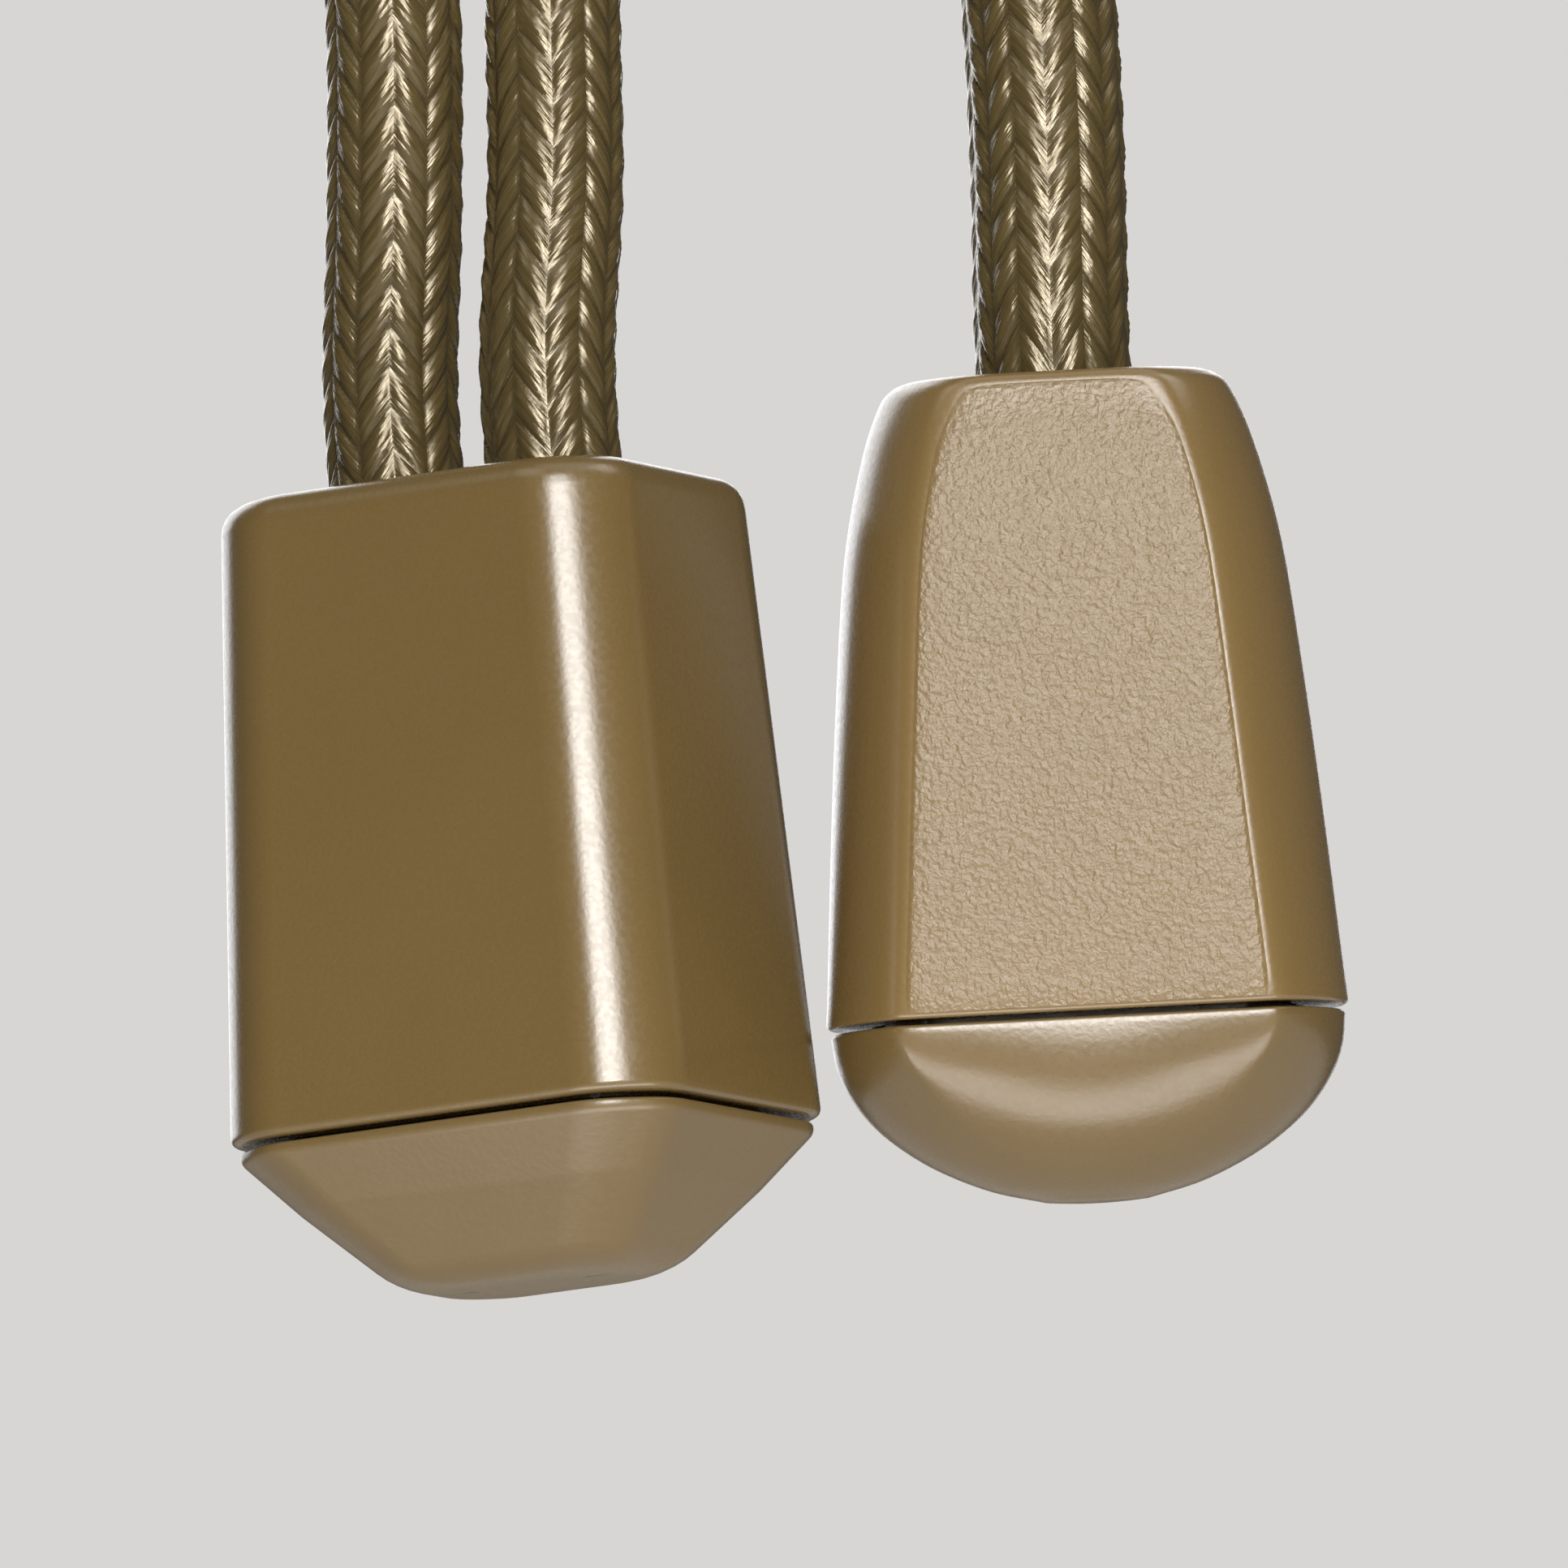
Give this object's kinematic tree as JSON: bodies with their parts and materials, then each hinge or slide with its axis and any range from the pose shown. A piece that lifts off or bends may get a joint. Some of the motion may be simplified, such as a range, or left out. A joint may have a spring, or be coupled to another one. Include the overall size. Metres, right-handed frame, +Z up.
{
  "type": "cord lock",
  "caption": "Moulded cord lock that snaps shut over the knotted ends of a braided drawcord, with a bell-shaped cord end beside it, hung by a tied hank of the cord.",
  "frame": {"origin": "the top of the drawcord hank, where the whole part is hung up", "axes": "+Z up along the hank, +X from the lock towards the bell end, -Y the side that faces the viewer"},
  "size_m": [0.0357, 0.0166, 0.135],
  "materials": {
    "lock_shell": "olive-brown moulded plastic, satin with a very fine grain",
    "lock_lid": "the same plastic on the snap-in lid, satin",
    "bell_shell": "olive-brown moulded plastic with a fine sparkle grain on its flats, satin",
    "bell_lid": "the same plastic on the domed lid, satin",
    "drawcord_braid": "round olive-khaki polyester braid with paler flecks",
    "keeper_braid": "a slightly thicker braid of the same colour",
    "sealed_ends": "cord ends melted to a dark smooth bead",
    "tie_strap": "dark olive hook-and-loop strap"
  },
  "bodies": {
    "hank": {"drawcord_hank": "drawcord_braid", "hank_tie": "tie_strap", "hank_lead_left": "drawcord_braid", "hank_lead_right": "drawcord_braid", "keeper_cord": "keeper_braid", "keeper_knot": "keeper_braid", "keeper_tip": "sealed_ends"},
    "lock_cords": {"lock_cord_left": "drawcord_braid", "lock_cord_right": "drawcord_braid", "lock_knot": "drawcord_braid", "lock_tip_left": "sealed_ends", "lock_tip_right": "sealed_ends"},
    "lock_shell": {"lock_housing": "lock_shell"},
    "lock_cap": {"lock_lid": "lock_lid"},
    "bell_cord_end": {"bell_cord": "keeper_braid"},
    "bell_knotted_end": {"bell_knot": "keeper_braid", "bell_tip": "sealed_ends"},
    "bell_shell": {"bell_housing": "bell_shell"},
    "bell_cap": {"bell_lid": "bell_lid"}
  },
  "joints": [
    {"name": "lock_swing", "type": "hinge", "parent": "hank", "child": "lock_cords", "pos_m": [0, 0, -0.09615], "axis": [1, 0, 0], "range_deg": [-45, 45]},
    {"name": "lock_slide", "type": "slide", "parent": "lock_cords", "child": "lock_shell", "axis": [0, 0, 1], "range_m": [0, 0.0025]},
    {"name": "lock_lid_pull", "type": "slide", "parent": "lock_shell", "child": "lock_cap", "axis": [0, 0, -1], "range_m": [0, 0.012]},
    {"name": "bell_swing", "type": "hinge", "parent": "hank", "child": "bell_cord_end", "pos_m": [0.0164, 0, -0.09615], "axis": [1, 0, 0], "range_deg": [-45, 45]},
    {"name": "bell_twist", "type": "hinge", "parent": "bell_cord_end", "child": "bell_knotted_end", "pos_m": [0.0161, -0.0011, -0.10965], "axis": [0.0191, -0.0872, 0.996], "range_deg": [-90, 90]},
    {"name": "bell_slide", "type": "slide", "parent": "bell_knotted_end", "child": "bell_shell", "axis": [0.0191, -0.0872, 0.996], "range_m": [0, 0.003]},
    {"name": "bell_lid_pull", "type": "slide", "parent": "bell_shell", "child": "bell_cap", "axis": [-0.0191, 0.0872, -0.996], "range_m": [0, 0.012]}
  ]
}
